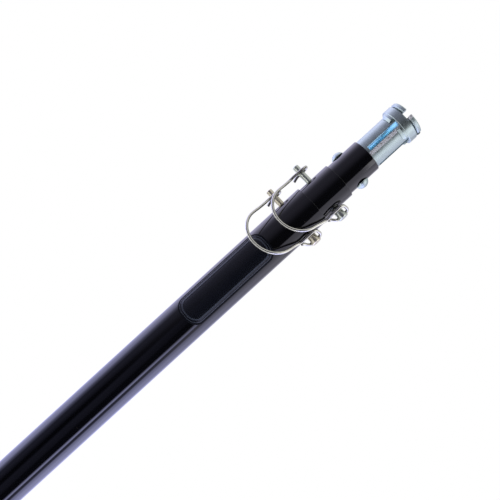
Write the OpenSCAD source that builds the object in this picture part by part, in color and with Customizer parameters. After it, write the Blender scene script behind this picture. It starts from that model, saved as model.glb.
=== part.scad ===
// Three-section telescopic roller pole: nested steel tubes, two snap-wire
// lock pins, and a slotted tool socket with a sliding collar at the tip.
// Z runs along the pole from the butt face (z = 0) to the tip. The front,
// where the nameplate sits and the wire bails stand, faces -Y. The lock
// pins lie along X with their heads at +X.

/* [Tubes] */
// Outside diameter of the outer tube
outer_d = 38.1; // [36:0.1:46]
// Wall thickness of all three tubes
tube_wall = 1.25; // [1:0.05:1.6]
// Clearance on each side between one tube and the next
tube_gap = 0.35; // [0.25:0.05:0.6]
// Length of the outer tube
outer_len = 700; // [560:10:1000]
// Gap between the butt cap's plug and the middle tube's bush when closed
middle_foot_gap = 15; // [4:1:60]
// Gap between the middle tube's bush and the inner tube's bush when closed
inner_foot_gap = 12; // [4:1:60]
// How far the middle tube stands out of the outer one when closed
middle_reach = 32; // [30:1:40]
// How far the inner tube stands out of the middle one when closed
inner_reach = 33; // [32:1:40]

/* [Adjustment holes] */
// Distance from one adjustment hole to the next
hole_pitch = 32; // [28:1:40]
// Number of positions along the middle tube, its own lock pin's included
middle_holes = 20; // [2:1:20]
// Number of adjustment holes along the inner tube
inner_holes = 20; // [2:1:20]
// Least distance from an adjustment hole to the bush below it
hole_margin = 1; // [1:0.5:20]
// Distance from a tube's top end down to its lock pin or rivet
pin_set_back = 19.5; // [15:0.5:22]
// Clearance on each side between a pin and an adjustment hole
hole_gap = 0.35; // [0.2:0.05:0.6]
// Clearance on each side between a pin and the hole that carries it
pin_gap = 0.05; // [0.02:0.01:0.1]

/* [Lock pins] */
// Diameter of a pin's shank
pin_d = 6; // [5:0.1:7]
// How far the shank's tip stands out beyond the outer tube's side
pin_tip_out = 17.55; // [15:0.05:22]
// Chamfer on the shank's tip
pin_chamfer = 0.8; // [0.3:0.1:1.5]
// Diameter of the head's neck
neck_d = 8.6; // [7:0.1:8.8]
// Diameter of the head's flange
flange_d = 10; // [8.8:0.1:10.4]
// Length of the head's neck
neck_len = 4.65; // [4:0.05:6]
// Thickness of the head's flange
flange_t = 3.8; // [3.8:0.1:5]
// Clearance between the head and the tube under it
head_gap = 0.3; // [0.2:0.1:1]
// Distance from the flange's inner face to the cross hole's centre
eyelet_in = 1.2; // [1:0.1:1.4]

/* [Wire bails] */
// Diameter of the spring wire
wire_d = 2.8; // [2:0.1:3]
// How much larger the bail's round end is than the tube's radius
bail_room = 4.05; // [3.5:0.05:8]
// Reach of the bail from its pin, at the wire's centre line
bail_reach = 49.2; // [46:0.1:58]
// How far the bail's middle lies from the pole's axis, towards the pin's tip
bail_shift = 4.75; // [3:0.05:5]
// Gap between the lower bail's round end and the outer tube
lower_stand = 6.3; // [4:0.1:12]
// Gap between the upper bail's round end and the outer tube
upper_stand = 0.9; // [0.8:0.1:2]
// Distance from the outer tube's side to the wire's eye
eye_out = 10.05; // [8:0.05:14]
// Sideways distance from the outer tube's side to the strand by the head
strand_out = 0.6; // [0.6:0.05:3]
// Distance that the strand by the head passes in front of the pin's axis
strand_front = 8.5; // [8:0.1:11]
// Clearance on each side between the wire and the hole through the head
wire_gap = 0.3; // [0.15:0.05:0.5]
// Clearance between the wire's eye and the pin inside it
eye_gap = 0.1; // [0.05:0.05:0.4]
// Least clearance between the wire's upper leg and the outer tube's side
leg_gap = 0.35; // [0.3:0.05:1]

/* [Tool socket] */
// Wall thickness of the socket's raw tube
sleeve_wall = 2.3; // [2:0.1:3]
// Radial depth that is bored out for the tool's spigot
ream_depth = 0.3; // [0.2:0.1:0.5]
// How far the socket reaches down inside the inner tube
sleeve_inside = 38; // [34:1:60]
// Height of the bore's shoulder below the inner tube's end
shoulder_drop = 14; // [6:1:15]
// Bare length of the socket, from the inner tube's end to the lip
sleeve_out = 45; // [42:0.1:60]
// Thickness of the lip at the mouth
lip_t = 4.5; // [3:0.1:6]
// How far the lip and the collar stand out beyond the socket's side
lip_rise = 3.2; // [2.4:0.1:5]
// Width of the slots between the spring fingers
slot_w = 5; // [3:0.1:6]
// Width of the notches that carry the slots through the lip
notch_w = 6; // [5:0.1:7]
// Distance from the inner tube's end to the foot of the slots
slot_foot = 2.8; // [2:0.1:10]
// Length of the collar's band
collar_len = 8.2; // [6:0.1:12]
// Length of the lugs at the collar's rear end, which the thumb pushes
lug_len = 4.8; // [2:0.1:6]
// Angle that each lug covers around the collar, in degrees
lug_span = 40; // [20:1:50]
// Angle from the front slot to the middle of the lug beside it, in degrees
lug_turn = 38; // [36:1:50]
// Length of the slope at the rear end of a lug
lug_slope = 2.4; // [1:0.1:3]
// Gap between the collar and the lip
collar_stand = 1.1; // [1.1:0.1:3]
// Running clearance between the collar and the socket
collar_gap = 0.08; // [0.05:0.01:0.1]
// Diameter of the rivet's shank
rivet_d = 6; // [5:0.1:7]
// Diameter of the rivet's domed heads
rivet_head_d = 12.6; // [10:0.1:14]
// Height of the domed heads above the tube
rivet_head_h = 4.4; // [3:0.1:5]

/* [Nameplate] */
// Length of the nameplate
plate_len = 98; // [60:1:140]
// Distance across the nameplate, measured straight
plate_chord = 29.2; // [20:0.1:31]
// Radius of the nameplate's corners
plate_corner = 9.5; // [4:0.1:12]
// Distance from the outer tube's top end to the nameplate
plate_drop = 51.2; // [50:0.1:80]
// Thickness of the nameplate
plate_t = 0.6; // [0.4:0.1:0.6]
// Thickness of the tape that holds the nameplate
tape_t = 0.2; // [0.1:0.05:0.2]
// Distance that the tape stays back from the nameplate's edge
tape_inset = 1.5; // [1:0.1:4]

/* [Handle end] */
// Length of the hand grip
grip_len = 140; // [100:5:200]
// Thickness of the hand grip
grip_t = 4; // [3:0.5:8]
// Number of grooves around the grip
grip_grooves = 11; // [5:1:15]
// Depth of the grooves around the grip
groove_depth = 1; // [0.5:0.1:1.5]
// Thickness of the butt cap's end
cap_t = 5; // [4:0.5:8]
// How far the butt cap reaches up inside the tube
cap_inside = 30; // [20:1:40]
// Wall thickness of the butt cap's plug
cap_wall = 3; // [2:0.5:5]
// How far the cap stands out beyond the tube's side
cap_rim = 3; // [2:0.5:4]

/* [Guide bushes] */
// Thickness of the bush's end flange
bush_flange = 3; // [2:0.5:4]
// How far a bush reaches up inside its tube
bush_inside = 18; // [14:1:18]
// Wall thickness of a bush
bush_wall = 2; // [1.5:0.1:3]
// Running clearance on each side between a bush and the tube around it
bush_gap = 0.1; // [0.05:0.01:0.2]
// Diameter of the bush's flush rivets
bush_rivet_d = 3.2; // [2.5:0.1:4]
// Height of the flush rivets above the tube's lower end
bush_rivet_z = 9; // [6:0.5:12]

/* [Hidden] */
$fn = 96;

// Clearance that keeps pieces which are pressed or bonded together from
// sharing material
bond_gap = 0.02;
// Length by which cuts run past the faces that they open
over = 1;

step_d = 2 * (tube_wall + tube_gap);
middle_d = outer_d - step_d;
inner_d = middle_d - step_d;
outer_bore = outer_d - 2 * tube_wall;
middle_bore = middle_d - 2 * tube_wall;
inner_bore = inner_d - 2 * tube_wall;

outer_top = cap_t + outer_len;
middle_top = outer_top + middle_reach;
inner_top = middle_top + inner_reach;
middle_foot = cap_t + cap_inside + middle_foot_gap + bush_flange;
inner_foot = middle_foot + bush_inside + inner_foot_gap + bush_flange;
middle_len = middle_top - middle_foot;
inner_len = inner_top - inner_foot;
lower_pin_z = outer_top - pin_set_back;
upper_pin_z = middle_top - pin_set_back;
rivet_z = inner_top - pin_set_back;

pin_tip_x = outer_d / 2 + pin_tip_out;
neck_x = outer_d / 2 + head_gap;
flange_x = neck_x + neck_len;
head_x = flange_x + flange_t;
eyelet_x = flange_x + eyelet_in;

wire_r = wire_d / 2;
// The bails lean out from the pole until their round ends clear the tube
lower_tilt = asin((outer_d / 2 + wire_r + lower_stand) / bail_reach);
upper_tilt = asin((outer_d / 2 + wire_r + upper_stand) / bail_reach);
bail_r = outer_d / 2 + bail_room;
// Sideways places of the wire's strands: past the head, down the two legs
// and at the eye, whose centre line runs round the pin at eye_r
strand_x = outer_d / 2 + strand_out;
head_leg_x = bail_r - bail_shift;
tip_leg_x = -bail_r - bail_shift;
eye_x = -outer_d / 2 - eye_out;
eye_r = pin_d / 2 + wire_r + eye_gap;
arch_start = bail_reach - bail_r;

sleeve_d = inner_bore - 2 * pin_gap;
raw_bore = sleeve_d - 2 * sleeve_wall;
socket_bore = raw_bore + 2 * ream_depth;
lip_d = sleeve_d + 2 * lip_rise;
lip_z = inner_top + sleeve_out;
tip_z = lip_z + lip_t;
collar_top = lip_z - collar_stand;
band_foot = collar_top - collar_len;
collar_foot = band_foot - lug_len;

plate_top = outer_top - plate_drop;
tape_r = outer_d / 2 + bond_gap;
plate_r = tape_r + tape_t + bond_gap;

grip_foot = cap_t + 2;

// A plain round tube that stands on z = foot
module tube(d, bore, foot, len)
    translate([0, 0, foot])
        difference() {
            cylinder(d = d, h = len);
            translate([0, 0, -over]) cylinder(d = bore, h = len + 2 * over);
        }

// A rod along X from x0 to x1 at height z
module cross_rod(d, x0, x1, z)
    translate([x0, 0, z]) rotate([0, 90, 0]) cylinder(d = d, h = x1 - x0);

// Holes through both walls of a tube, one pitch apart, from z downwards,
// above the bush that closes the tube's foot
module hole_row(d, tube_d, z, count, foot)
    for (i = [0 : count - 1])
        if (z - i * hole_pitch - d / 2 > foot + bush_inside + hole_margin)
            cross_rod(d, -tube_d, tube_d, z - i * hole_pitch);

// The two small holes for a bush's flush rivets, front and back
module bush_rivet_holes(d, tube_d, z)
    translate([0, tube_d, z]) rotate([90, 0, 0]) cylinder(d = d, h = 2 * tube_d);

module outer_tube()
    color("#1c1c22")
        difference() {
            tube(outer_d, outer_bore, cap_t, outer_len);
            cross_rod(pin_d + 2 * pin_gap, -outer_d, outer_d, lower_pin_z);
        }

module middle_tube()
    color("#1e1e24")
        difference() {
            tube(middle_d, middle_bore, middle_foot, middle_len);
            cross_rod(pin_d + 2 * pin_gap, -middle_d, middle_d, upper_pin_z);
            hole_row(pin_d + 2 * hole_gap, middle_d, upper_pin_z - hole_pitch, middle_holes - 1, middle_foot);
            bush_rivet_holes(bush_rivet_d, middle_d, middle_foot + bush_rivet_z);
        }

module inner_tube()
    color("#202026")
        difference() {
            tube(inner_d, inner_bore, inner_foot, inner_len);
            cross_rod(rivet_d + 2 * pin_gap, -inner_d, inner_d, rivet_z);
            hole_row(pin_d + 2 * hole_gap, inner_d, upper_pin_z, inner_holes, inner_foot);
            bush_rivet_holes(bush_rivet_d, inner_d, inner_foot + bush_rivet_z);
        }

module hand_grip() {
    grip_r = outer_d / 2 + bond_gap + grip_t;
    groove_step = grip_len / (grip_grooves + 1);
    groove_w = groove_step / 3;
    edge = grip_t / 2;
    color("#232326")
        difference() {
            translate([0, 0, grip_foot])
                rotate_extrude()
                    polygon([
                        [outer_d / 2 + bond_gap, 0], [grip_r - edge, 0], [grip_r, edge],
                        [grip_r, grip_len - edge], [grip_r - edge, grip_len],
                        [outer_d / 2 + bond_gap, grip_len]
                    ]);
            for (i = [1 : grip_grooves])
                translate([0, 0, grip_foot + i * groove_step - groove_w / 2])
                    difference() {
                        cylinder(r = grip_r + over, h = groove_w);
                        cylinder(r = grip_r - groove_depth, h = groove_w);
                    }
        }
}

module butt_cap() {
    rim_r = outer_d / 2 + cap_rim;
    plug_r = outer_bore / 2 - pin_gap;
    bevel = cap_t / 3;
    color("#18181a")
        rotate_extrude()
            polygon([
                [0, 0], [rim_r - bevel, 0], [rim_r, bevel], [rim_r, cap_t], [plug_r, cap_t],
                [plug_r, cap_t + cap_inside], [plug_r - cap_wall, cap_t + cap_inside],
                [plug_r - cap_wall, cap_t], [0, cap_t]
            ]);
}

// An oblong with round corners, drawn across X and Z and run out along -Y
module oblong(w, len, r, top)
    translate([0, 0, top - len])
        rotate([90, 0, 0])
            linear_extrude(height = outer_d)
                union() {
                    translate([-w / 2 + r, 0]) square([w - 2 * r, len]);
                    translate([-w / 2, r]) square([w, len - 2 * r]);
                    for (x = [-w / 2 + r, w / 2 - r], z = [r, len - r])
                        translate([x, z]) circle(r = r);
                }

// A thin curved plate that lies on the front of the outer tube
module curved_plate(r, t, w, len, corner, top)
    intersection() {
        tube(2 * (r + t), 2 * r, top - len, len);
        oblong(w, len, corner, top);
    }

module nameplate()
    color("#12131c")
        curved_plate(plate_r, plate_t, plate_chord, plate_len, plate_corner, plate_top);

module nameplate_tape()
    color("#3a3a3e")
        curved_plate(tape_r, tape_t, plate_chord - 2 * tape_inset, plate_len - 2 * tape_inset,
            plate_corner - tape_inset, plate_top - tape_inset);

// One lock pin: a chamfered shank and a flanged head with a cross hole
module lock_pin(z)
    color("#a9a99f")
        translate([0, 0, z])
            difference() {
                rotate([0, 90, 0])
                    rotate_extrude()
                        polygon([
                            [0, -pin_tip_x], [pin_d / 2 - pin_chamfer, -pin_tip_x],
                            [pin_d / 2, -pin_tip_x + pin_chamfer], [pin_d / 2, neck_x],
                            [neck_d / 2, neck_x], [neck_d / 2, flange_x],
                            [flange_d / 2, flange_x], [flange_d / 2, head_x - pin_chamfer],
                            [flange_d / 2 - pin_chamfer, head_x], [0, head_x]
                        ]);
                translate([eyelet_x, 0, -flange_d])
                    cylinder(d = wire_d + 2 * wire_gap, h = 2 * flange_d);
            }

module lower_lock_pin() lock_pin(lower_pin_z);

module upper_lock_pin() lock_pin(upper_pin_z);

// A point of the tilted bail: x across, s along it from the pin, and off
// in front of it
function bail_at(x, s, off, tilt) =
    [x, -s * sin(tilt) - off * cos(tilt), -s * cos(tilt) + off * sin(tilt)];

// The same point, moved sideways if need be until the wire clears the
// outer tube's side
function leg_at(x, s, off, tilt) =
    let (p = bail_at(x, s, off, tilt), r = outer_d / 2 + wire_r + leg_gap)
    [max(x, sqrt(r * r - p.y * p.y)), p.y, p.z];

// The wire's centre line, from its end beside the head, through the head,
// down one leg, round the bail, up the other leg and round the pin's tip
function wire_route(tilt) = concat(
    // the short end, tucked behind the leg, then through the head
    [
        leg_at(head_leg_x + 1.9, 12, -2.2, tilt),
        bail_at(head_leg_x + 3, 10, -2.6, tilt),
        [eyelet_x - 1.3, -1.1, -7.5],
        [eyelet_x - 0.1, -0.1, -5.7],
        [eyelet_x, 0, -4.4],
        [eyelet_x, 0, 0],
        [eyelet_x, 0, 3]
    ],
    // the turn beyond the head
    [for (a = [0 : 22.5 : 180])
        let (from = [eyelet_x, 0, 4.8], to = [strand_x, -strand_front, 3], k = (1 - cos(a)) / 2)
        from * (1 - k) + to * k + [0, 0, 3.1 * pow(abs(sin(a)), 0.7)]],
    // past the head and down the first leg
    [
        [strand_x, -strand_front, 0],
        [strand_x, -strand_front, -5],
        leg_at(head_leg_x + 0.9, 14, 0.8, tilt),
        leg_at(head_leg_x + 0.2, 20, 0, tilt)
    ],
    // the round end
    [for (a = [0 : 7.5 : 180])
        bail_at(-bail_shift + bail_r * cos(a), arch_start + bail_r * sin(a), 0, tilt)],
    // up the second leg to the eye
    [
        bail_at(tip_leg_x - 0.3, 20, 0, tilt),
        bail_at(eye_x + 0.4, 14, 0, tilt),
        [eye_x, -eye_r - 0.8, -6],
        [eye_x, -eye_r, -1.5]
    ],
    // round the pin
    [for (a = [0 : 22.5 : 180]) [eye_x, -eye_r * cos(a), 2.5 + eye_r * sin(a)]],
    // the free end, turned out a little
    [
        [eye_x, eye_r, -2],
        [eye_x + 0.4, eye_r + 0.5, -6],
        [eye_x + 1.4, eye_r + 1.4, -9.5]
    ]
);

// Unit vector along v
function unit(v) = v / norm(v);

// Direction of a route at its point i
function heading(p, i) = unit(p[min(i + 1, len(p) - 1)] - p[max(i - 1, 0)]);

// Side vectors along a route, each turned as little as possible from the last
function sides(p, i, last) =
    i == len(p) ? [] :
    let (t = heading(p, i), s = unit(last - (last * t) * t))
    concat([s], sides(p, i + 1, s));

// A round wire along a route, as one closed solid
module wire(p) {
    facets = 12;
    side = sides(p, 0, [0.3, 1, 0.2]);
    last = len(p) - 1;
    rings = [for (i = [0 : last], k = [0 : facets - 1])
        let (t = heading(p, i), a = 360 * k / facets)
        p[i] + wire_r * (side[i] * cos(a) + cross(t, side[i]) * sin(a))];
    walls = [for (i = [0 : last - 1], k = [0 : facets - 1])
        let (n = (k + 1) % facets, here = i * facets, next = here + facets)
        [here + k, next + k, next + n, here + n]];
    foot = [for (k = [0 : facets - 1]) k];
    end = [for (k = [facets - 1 : -1 : 0]) last * facets + k];
    polyhedron(points = rings, faces = concat([foot], walls, [end]), convexity = 10);
}

module lower_lock_wire()
    color("#8b8880") translate([0, 0, lower_pin_z]) wire(wire_route(lower_tilt));

module upper_lock_wire()
    color("#8b8880") translate([0, 0, upper_pin_z]) wire(wire_route(upper_tilt));

// Slots that part the socket into four spring fingers
module finger_slots(w, foot)
    for (turn = [0, 90])
        rotate([0, 0, turn])
            translate([-lip_d, -w / 2, foot])
                cube([2 * lip_d, w, tip_z - foot + over]);

module adapter_sleeve() {
    front_edge = 0.8;
    rear_edge = 1.1;
    color("#b9c4d2")
        difference() {
            union() {
                translate([0, 0, inner_top - sleeve_inside])
                    cylinder(d = sleeve_d, h = sleeve_inside + sleeve_out + lip_t);
                translate([0, 0, lip_z])
                    rotate_extrude()
                        polygon([
                            [0, 0], [lip_d / 2 - rear_edge, 0], [lip_d / 2, rear_edge],
                            [lip_d / 2, lip_t - front_edge],
                            [lip_d / 2 - front_edge, lip_t], [0, lip_t]
                        ]);
            }
            translate([0, 0, inner_top - sleeve_inside - over])
                cylinder(d = raw_bore, h = sleeve_inside + sleeve_out + lip_t + 2 * over);
            translate([0, 0, inner_top - shoulder_drop])
                cylinder(d = socket_bore, h = shoulder_drop + sleeve_out + lip_t + over);
            cross_rod(rivet_d + 2 * pin_gap, -inner_d, inner_d, rivet_z);
            finger_slots(slot_w, inner_top + slot_foot);
            finger_slots(notch_w, lip_z);
        }
}

module lock_collar() {
    bore_r = sleeve_d / 2 + collar_gap;
    edge = 0.6;
    lug_foot = 0.5;
    lug_r = lip_d / 2 - edge;
    front_gap = 2 * lug_turn - lug_span;
    side_gap = 180 - 2 * lug_turn - lug_span;
    color("#b3bdca")
        translate([0, 0, collar_foot])
            difference() {
                rotate_extrude()
                    polygon([
                        [bore_r, 0], [bore_r + lug_foot, 0], [lug_r, lug_slope],
                        [lug_r, lug_len], [lip_d / 2, lug_len + edge],
                        [lip_d / 2, lug_len + collar_len - edge],
                        [lug_r, lug_len + collar_len], [bore_r, lug_len + collar_len]
                    ]);
                for (turn = [0, 180]) {
                    rotate([0, 0, turn - 90 - front_gap / 2]) lug_gap(front_gap);
                    rotate([0, 0, turn - side_gap / 2]) lug_gap(side_gap);
                }
            }
}

// Room between two lugs of the collar, turned through an angle
module lug_gap(turn)
    rotate_extrude(angle = turn)
        translate([sleeve_d / 2 - 1, -over])
            square([lip_rise + 2, lug_len + over]);

// A domed rivet head with a flat underside that bears on the tube's side
module rivet_head() {
    seat = inner_d / 2 + bond_gap;
    dome_r = (pow(rivet_head_d / 2, 2) + pow(rivet_head_h, 2)) / (2 * rivet_head_h);
    rotate([0, 90, 0])
        rotate_extrude()
            intersection() {
                translate([0, seat + rivet_head_h - dome_r]) circle(r = dome_r);
                translate([0, seat]) square([rivet_head_d / 2, rivet_head_h + over]);
            }
}

module adapter_rivet()
    color("#c2cbd6")
        translate([0, 0, rivet_z])
            union() {
                cross_rod(rivet_d, -inner_d / 2 - 1, inner_d / 2 + 1, 0);
                rivet_head();
                mirror([1, 0, 0]) rivet_head();
            }

// A bush that closes the lower end of a tube of bore d and runs in a bore of
// run_d
module guide_bush(bore, run_d, foot)
    difference() {
        union() {
            translate([0, 0, foot - bush_flange])
                cylinder(d = run_d - 2 * bush_gap, h = bush_flange);
            translate([0, 0, foot - bush_flange])
                cylinder(d = bore - 2 * pin_gap, h = bush_flange + bush_inside);
        }
        translate([0, 0, foot - bush_flange - over])
            cylinder(d = bore - 2 * bush_wall, h = bush_flange + bush_inside + 2 * over);
        bush_rivet_holes(bush_rivet_d, run_d, foot + bush_rivet_z);
    }

// The two flush rivets of a bush, front and back
module bush_rivets(d, bore, foot)
    translate([0, 0, foot + bush_rivet_z])
        for (side = [-1, 1])
            intersection() {
                rotate([side * 90, 0, 0])
                    translate([0, 0, bore / 2 - bush_wall])
                        cylinder(d = bush_rivet_d - 2 * bond_gap, h = d);
                translate([0, 0, -bush_rivet_d]) cylinder(d = d, h = 2 * bush_rivet_d);
            }

module middle_guide_bush()
    color("#3b3b40") guide_bush(middle_bore, outer_bore, middle_foot);

module middle_bush_rivets()
    color("#9a9a9c") bush_rivets(middle_d, middle_bore, middle_foot);

module inner_guide_bush()
    color("#3b3b40") guide_bush(inner_bore, middle_bore, inner_foot);

module inner_bush_rivets()
    color("#9a9a9c") bush_rivets(inner_d, inner_bore, inner_foot);

outer_tube();
middle_tube();
inner_tube();
hand_grip();
butt_cap();
nameplate();
nameplate_tape();
lower_lock_pin();
lower_lock_wire();
upper_lock_pin();
upper_lock_wire();
adapter_sleeve();
lock_collar();
adapter_rivet();
middle_guide_bush();
middle_bush_rivets();
inner_guide_bush();
inner_bush_rivets();
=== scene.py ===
"""Roller extension pole: the visible pieces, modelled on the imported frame."""

import math

import bpy
from mathutils import Matrix, Vector


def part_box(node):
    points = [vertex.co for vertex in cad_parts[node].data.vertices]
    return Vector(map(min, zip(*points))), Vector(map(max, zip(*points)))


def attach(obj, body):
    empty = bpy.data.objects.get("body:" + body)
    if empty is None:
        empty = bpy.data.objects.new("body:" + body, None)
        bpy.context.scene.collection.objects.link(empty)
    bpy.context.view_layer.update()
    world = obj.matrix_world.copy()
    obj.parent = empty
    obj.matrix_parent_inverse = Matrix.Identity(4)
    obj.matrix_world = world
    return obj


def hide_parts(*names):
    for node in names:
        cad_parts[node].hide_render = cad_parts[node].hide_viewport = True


bl_info = {
    "name": "Roller extension pole",
    "version": (1, 0, 0),
    "blender": (4, 5, 0),
    "location": "3D View > Sidebar > Pole",
    "description": "Models a three-section extension pole with snap-wire lock pins on its packed frame",
    "category": "Object",
}

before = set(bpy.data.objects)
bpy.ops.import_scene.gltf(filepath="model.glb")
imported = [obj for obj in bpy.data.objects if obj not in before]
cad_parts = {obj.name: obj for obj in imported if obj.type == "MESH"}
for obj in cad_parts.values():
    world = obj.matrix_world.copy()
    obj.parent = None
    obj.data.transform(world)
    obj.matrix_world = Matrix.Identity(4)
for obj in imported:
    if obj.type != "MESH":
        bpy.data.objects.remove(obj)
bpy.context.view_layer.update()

MM = 0.001


def linear(hexadecimal):
    """An sRGB hex colour as linear RGB, for sockets and colour settings."""
    digits = hexadecimal.lstrip("#")
    found = []
    for i in (0, 2, 4):
        c = int(digits[i : i + 2], 16) / 255
        found.append(c / 12.92 if c <= 0.04045 else ((c + 0.055) / 1.055) ** 2.4)
    return tuple(found)


# ---------------------------------------------------------------------------
# Settings
# ---------------------------------------------------------------------------


def length_setting(label, about, default, smallest=0.0):
    """A length in metres, shown in the scene's unit."""
    return bpy.props.FloatProperty(
        name=label, description=about, default=default, min=smallest,
        unit="LENGTH", subtype="DISTANCE", precision=5,
    )


def colour_setting(label, about, default):
    """A colour, given as sRGB hex and kept as linear RGB."""
    return bpy.props.FloatVectorProperty(
        name=label, description=about, default=linear(default), size=3,
        min=0.0, max=1.0, subtype="COLOR",
    )


class PoleSizes(bpy.types.PropertyGroup):
    """Sizes that the frame's boxes don't give."""

    tube_wall: length_setting("Tube wall", "Wall thickness of the three tubes", 1.25 * MM)
    tube_rim: length_setting("Tube rim", "Rounding of the tubes' ends", 0.25 * MM)
    pin_bore: length_setting("Pin bore", "Diameter of the hole that carries a lock pin", 6.1 * MM)
    position_bore: length_setting("Position hole", "Diameter of an adjustment hole", 6.7 * MM)
    position_step: length_setting("Position step", "Distance between adjustment holes", 32 * MM)
    position_count: bpy.props.IntProperty(
        name="Positions", description="Number of adjustment positions along a tube",
        default=20, min=1,
    )
    bush_rivet: length_setting("Bush rivet", "Diameter of a bush's flush rivet", 3.2 * MM)
    bush_rivet_rise: length_setting(
        "Bush rivet height", "Height of the flush rivets above a tube's foot", 9 * MM
    )
    fit_gap: length_setting("Fit gap", "Clearance round a plug that fits in a tube", 0.05 * MM)
    bond_gap: length_setting("Bond gap", "Gap under a piece that is held tight on a tube", 0.02 * MM)

    pin_shank: length_setting("Pin shank", "Diameter of a lock pin's shank", 6 * MM)
    pin_chamfer: length_setting("Pin chamfer", "Chamfer on both ends of a lock pin", 0.8 * MM)
    pin_neck: length_setting("Pin neck", "Diameter of the neck under the pin's flange", 8.6 * MM)
    pin_neck_length: length_setting("Pin neck length", "Length of the neck", 4.65 * MM)
    pin_head_gap: length_setting("Head gap", "Gap between the pin's head and the outer tube's side", 0.3 * MM)
    eyelet: length_setting("Eyelet", "Diameter of the cross hole that takes the wire", 3.4 * MM)
    eyelet_inset: length_setting(
        "Eyelet inset", "Distance from the flange's inner face to the eyelet", 1.2 * MM
    )

    wire: length_setting("Wire", "Diameter of the spring wire", 2.8 * MM)
    bail_room: length_setting(
        "Bail room", "How much larger the round end is than the tube's radius", 4.05 * MM
    )
    bail_reach: length_setting("Bail reach", "Reach of a bail from its pin", 49.2 * MM)
    bail_shift: length_setting("Bail shift", "How far a bail is set towards the pin's tip", 4.75 * MM)
    lower_stand: length_setting("Lower stand", "Gap under the lower bail's round end", 6.3 * MM)
    upper_stand: length_setting("Upper stand", "Gap under the upper bail's round end", 0.9 * MM)
    eye_out: length_setting(
        "Eye distance", "Distance from the outer tube's side to the wire's eye", 10.05 * MM
    )
    strand_out: length_setting(
        "Strand side", "Sideways distance from the tube to the strand by the head", 0.6 * MM
    )
    strand_front: length_setting("Strand front", "How far the strand passes in front of the pin", 8.5 * MM)
    eye_gap: length_setting("Eye gap", "Clearance between the wire's eye and the pin", 0.1 * MM)
    leg_gap: length_setting("Leg gap", "Least clearance between a leg and the tube's side", 0.7 * MM)

    sleeve_wall: length_setting("Socket wall", "Wall thickness of the socket's raw tube", 2.3 * MM)
    ream: length_setting("Ream depth", "Depth bored out of the socket for a tool's spigot", 0.3 * MM)
    shoulder: length_setting("Bore shoulder", "Height of the bored part's shoulder", 756 * MM)
    lip: length_setting("Lip", "Thickness of the lip at the mouth", 4.5 * MM)
    lip_front: length_setting("Lip front edge", "Chamfer on the lip's front edge", 0.8 * MM)
    lip_rear: length_setting("Lip rear edge", "Chamfer on the lip's rear edge", 1.1 * MM)
    slot: length_setting("Slot", "Width of the slots between the spring fingers", 5 * MM)
    slot_foot: length_setting("Slot foot", "Height of the slots' closed ends", 772.8 * MM)
    notch: length_setting("Notch", "Width of the notches through the lip", 6 * MM)
    collar_band: length_setting("Collar band", "Length of the collar's band", 8.2 * MM)
    lug_slope: length_setting("Lug slope", "Length of the slope at the rear end of a lug", 2.4 * MM)
    lug_turn: bpy.props.FloatProperty(
        name="Lug turn", description="Angle from the front slot to the lug beside it",
        default=math.radians(38), unit="ROTATION", subtype="ANGLE",
    )
    lug_span: bpy.props.FloatProperty(
        name="Lug span", description="Angle that each lug covers around the collar",
        default=math.radians(40), unit="ROTATION", subtype="ANGLE",
    )
    collar_gap: length_setting("Collar gap", "Clearance between the collar and the socket", 0.08 * MM)
    rivet_head: length_setting("Rivet head", "Diameter of the rivet's domed heads", 12.6 * MM)
    rivet_shank: length_setting("Rivet shank", "Diameter of the rivet's shank", 6 * MM)

    plate_corner: length_setting("Plate corner", "Radius of the nameplate's corners", 9.5 * MM)
    plate_chord: length_setting("Plate width", "Straight distance across the nameplate", 29.2 * MM)
    plate_thick: length_setting("Plate thickness", "Depth from the plate's back to its face", 0.6 * MM)
    plate_skirt: length_setting("Plate skirt", "Height of the matt skirt around the nameplate", 0.14 * MM)
    grip_grooves: bpy.props.IntProperty(
        name="Grip grooves", description="Number of grooves around the hand grip", default=11, min=1,
    )
    groove_depth: length_setting("Groove depth", "Depth of the grooves around the grip", 1 * MM)


class PoleFinishes(bpy.types.PropertyGroup):
    """Colours of the pole's finishes."""

    enamel: colour_setting("Black enamel", "Stoving enamel on the steel tubes", "#040406")
    scuff: colour_setting("Scuffs", "Dust and light scuffs on the enamel", "#5b5148")
    plate: colour_setting("Nameplate", "Blue-black moulded plate", "#080b12")
    blue_zinc: colour_setting("Blue zinc", "Clear-blue passivated zinc plate", "#9ca9a6")
    # Painted reflection: a lighter blue on the socket's inner wall, standing in for the blue light it
    # reflects
    painted_bore_reflection: colour_setting("Zinc bore", "Heavier blue passivate that pools in the socket", "#b4d8e4")
    seam: colour_setting("Weld seam", "Brown oxide along the socket's weld seam", "#6a5547")
    clear_zinc: colour_setting("Clear zinc", "Clear zinc plate on the upper pin", "#b3b8ac")
    yellow_zinc: colour_setting("Pale yellow zinc", "Aged zinc plate on the lower pin", "#c4bea8")
    wire: colour_setting("Spring wire", "Drawn and plated spring steel", "#b7b6ab")
    # Painted highlight: a lighter grey on the tops of the nameplate's raised border, standing in for the
    # light lines its beads reflect
    painted_bead_highlight: colour_setting("Worn border", "Tops of the border, rubbed to a satin", "#3d434c")
    grip: colour_setting("Grip rubber", "Moulded handle grip", "#1b1b1e")
    cap: colour_setting("Cap plastic", "Moulded polypropylene butt cap", "#17171a")
    bush: colour_setting("Bush plastic", "Moulded acetal guide bush", "#3b3b40")
    tape: colour_setting("Tape", "Acrylic foam tape behind the nameplate", "#4a4a4e")
    aluminium: colour_setting("Rivet aluminium", "Flush aluminium rivets", "#c3c4c6")
    floor: colour_setting("Floor", "Pale studio floor", "#e9e9ea")


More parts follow.
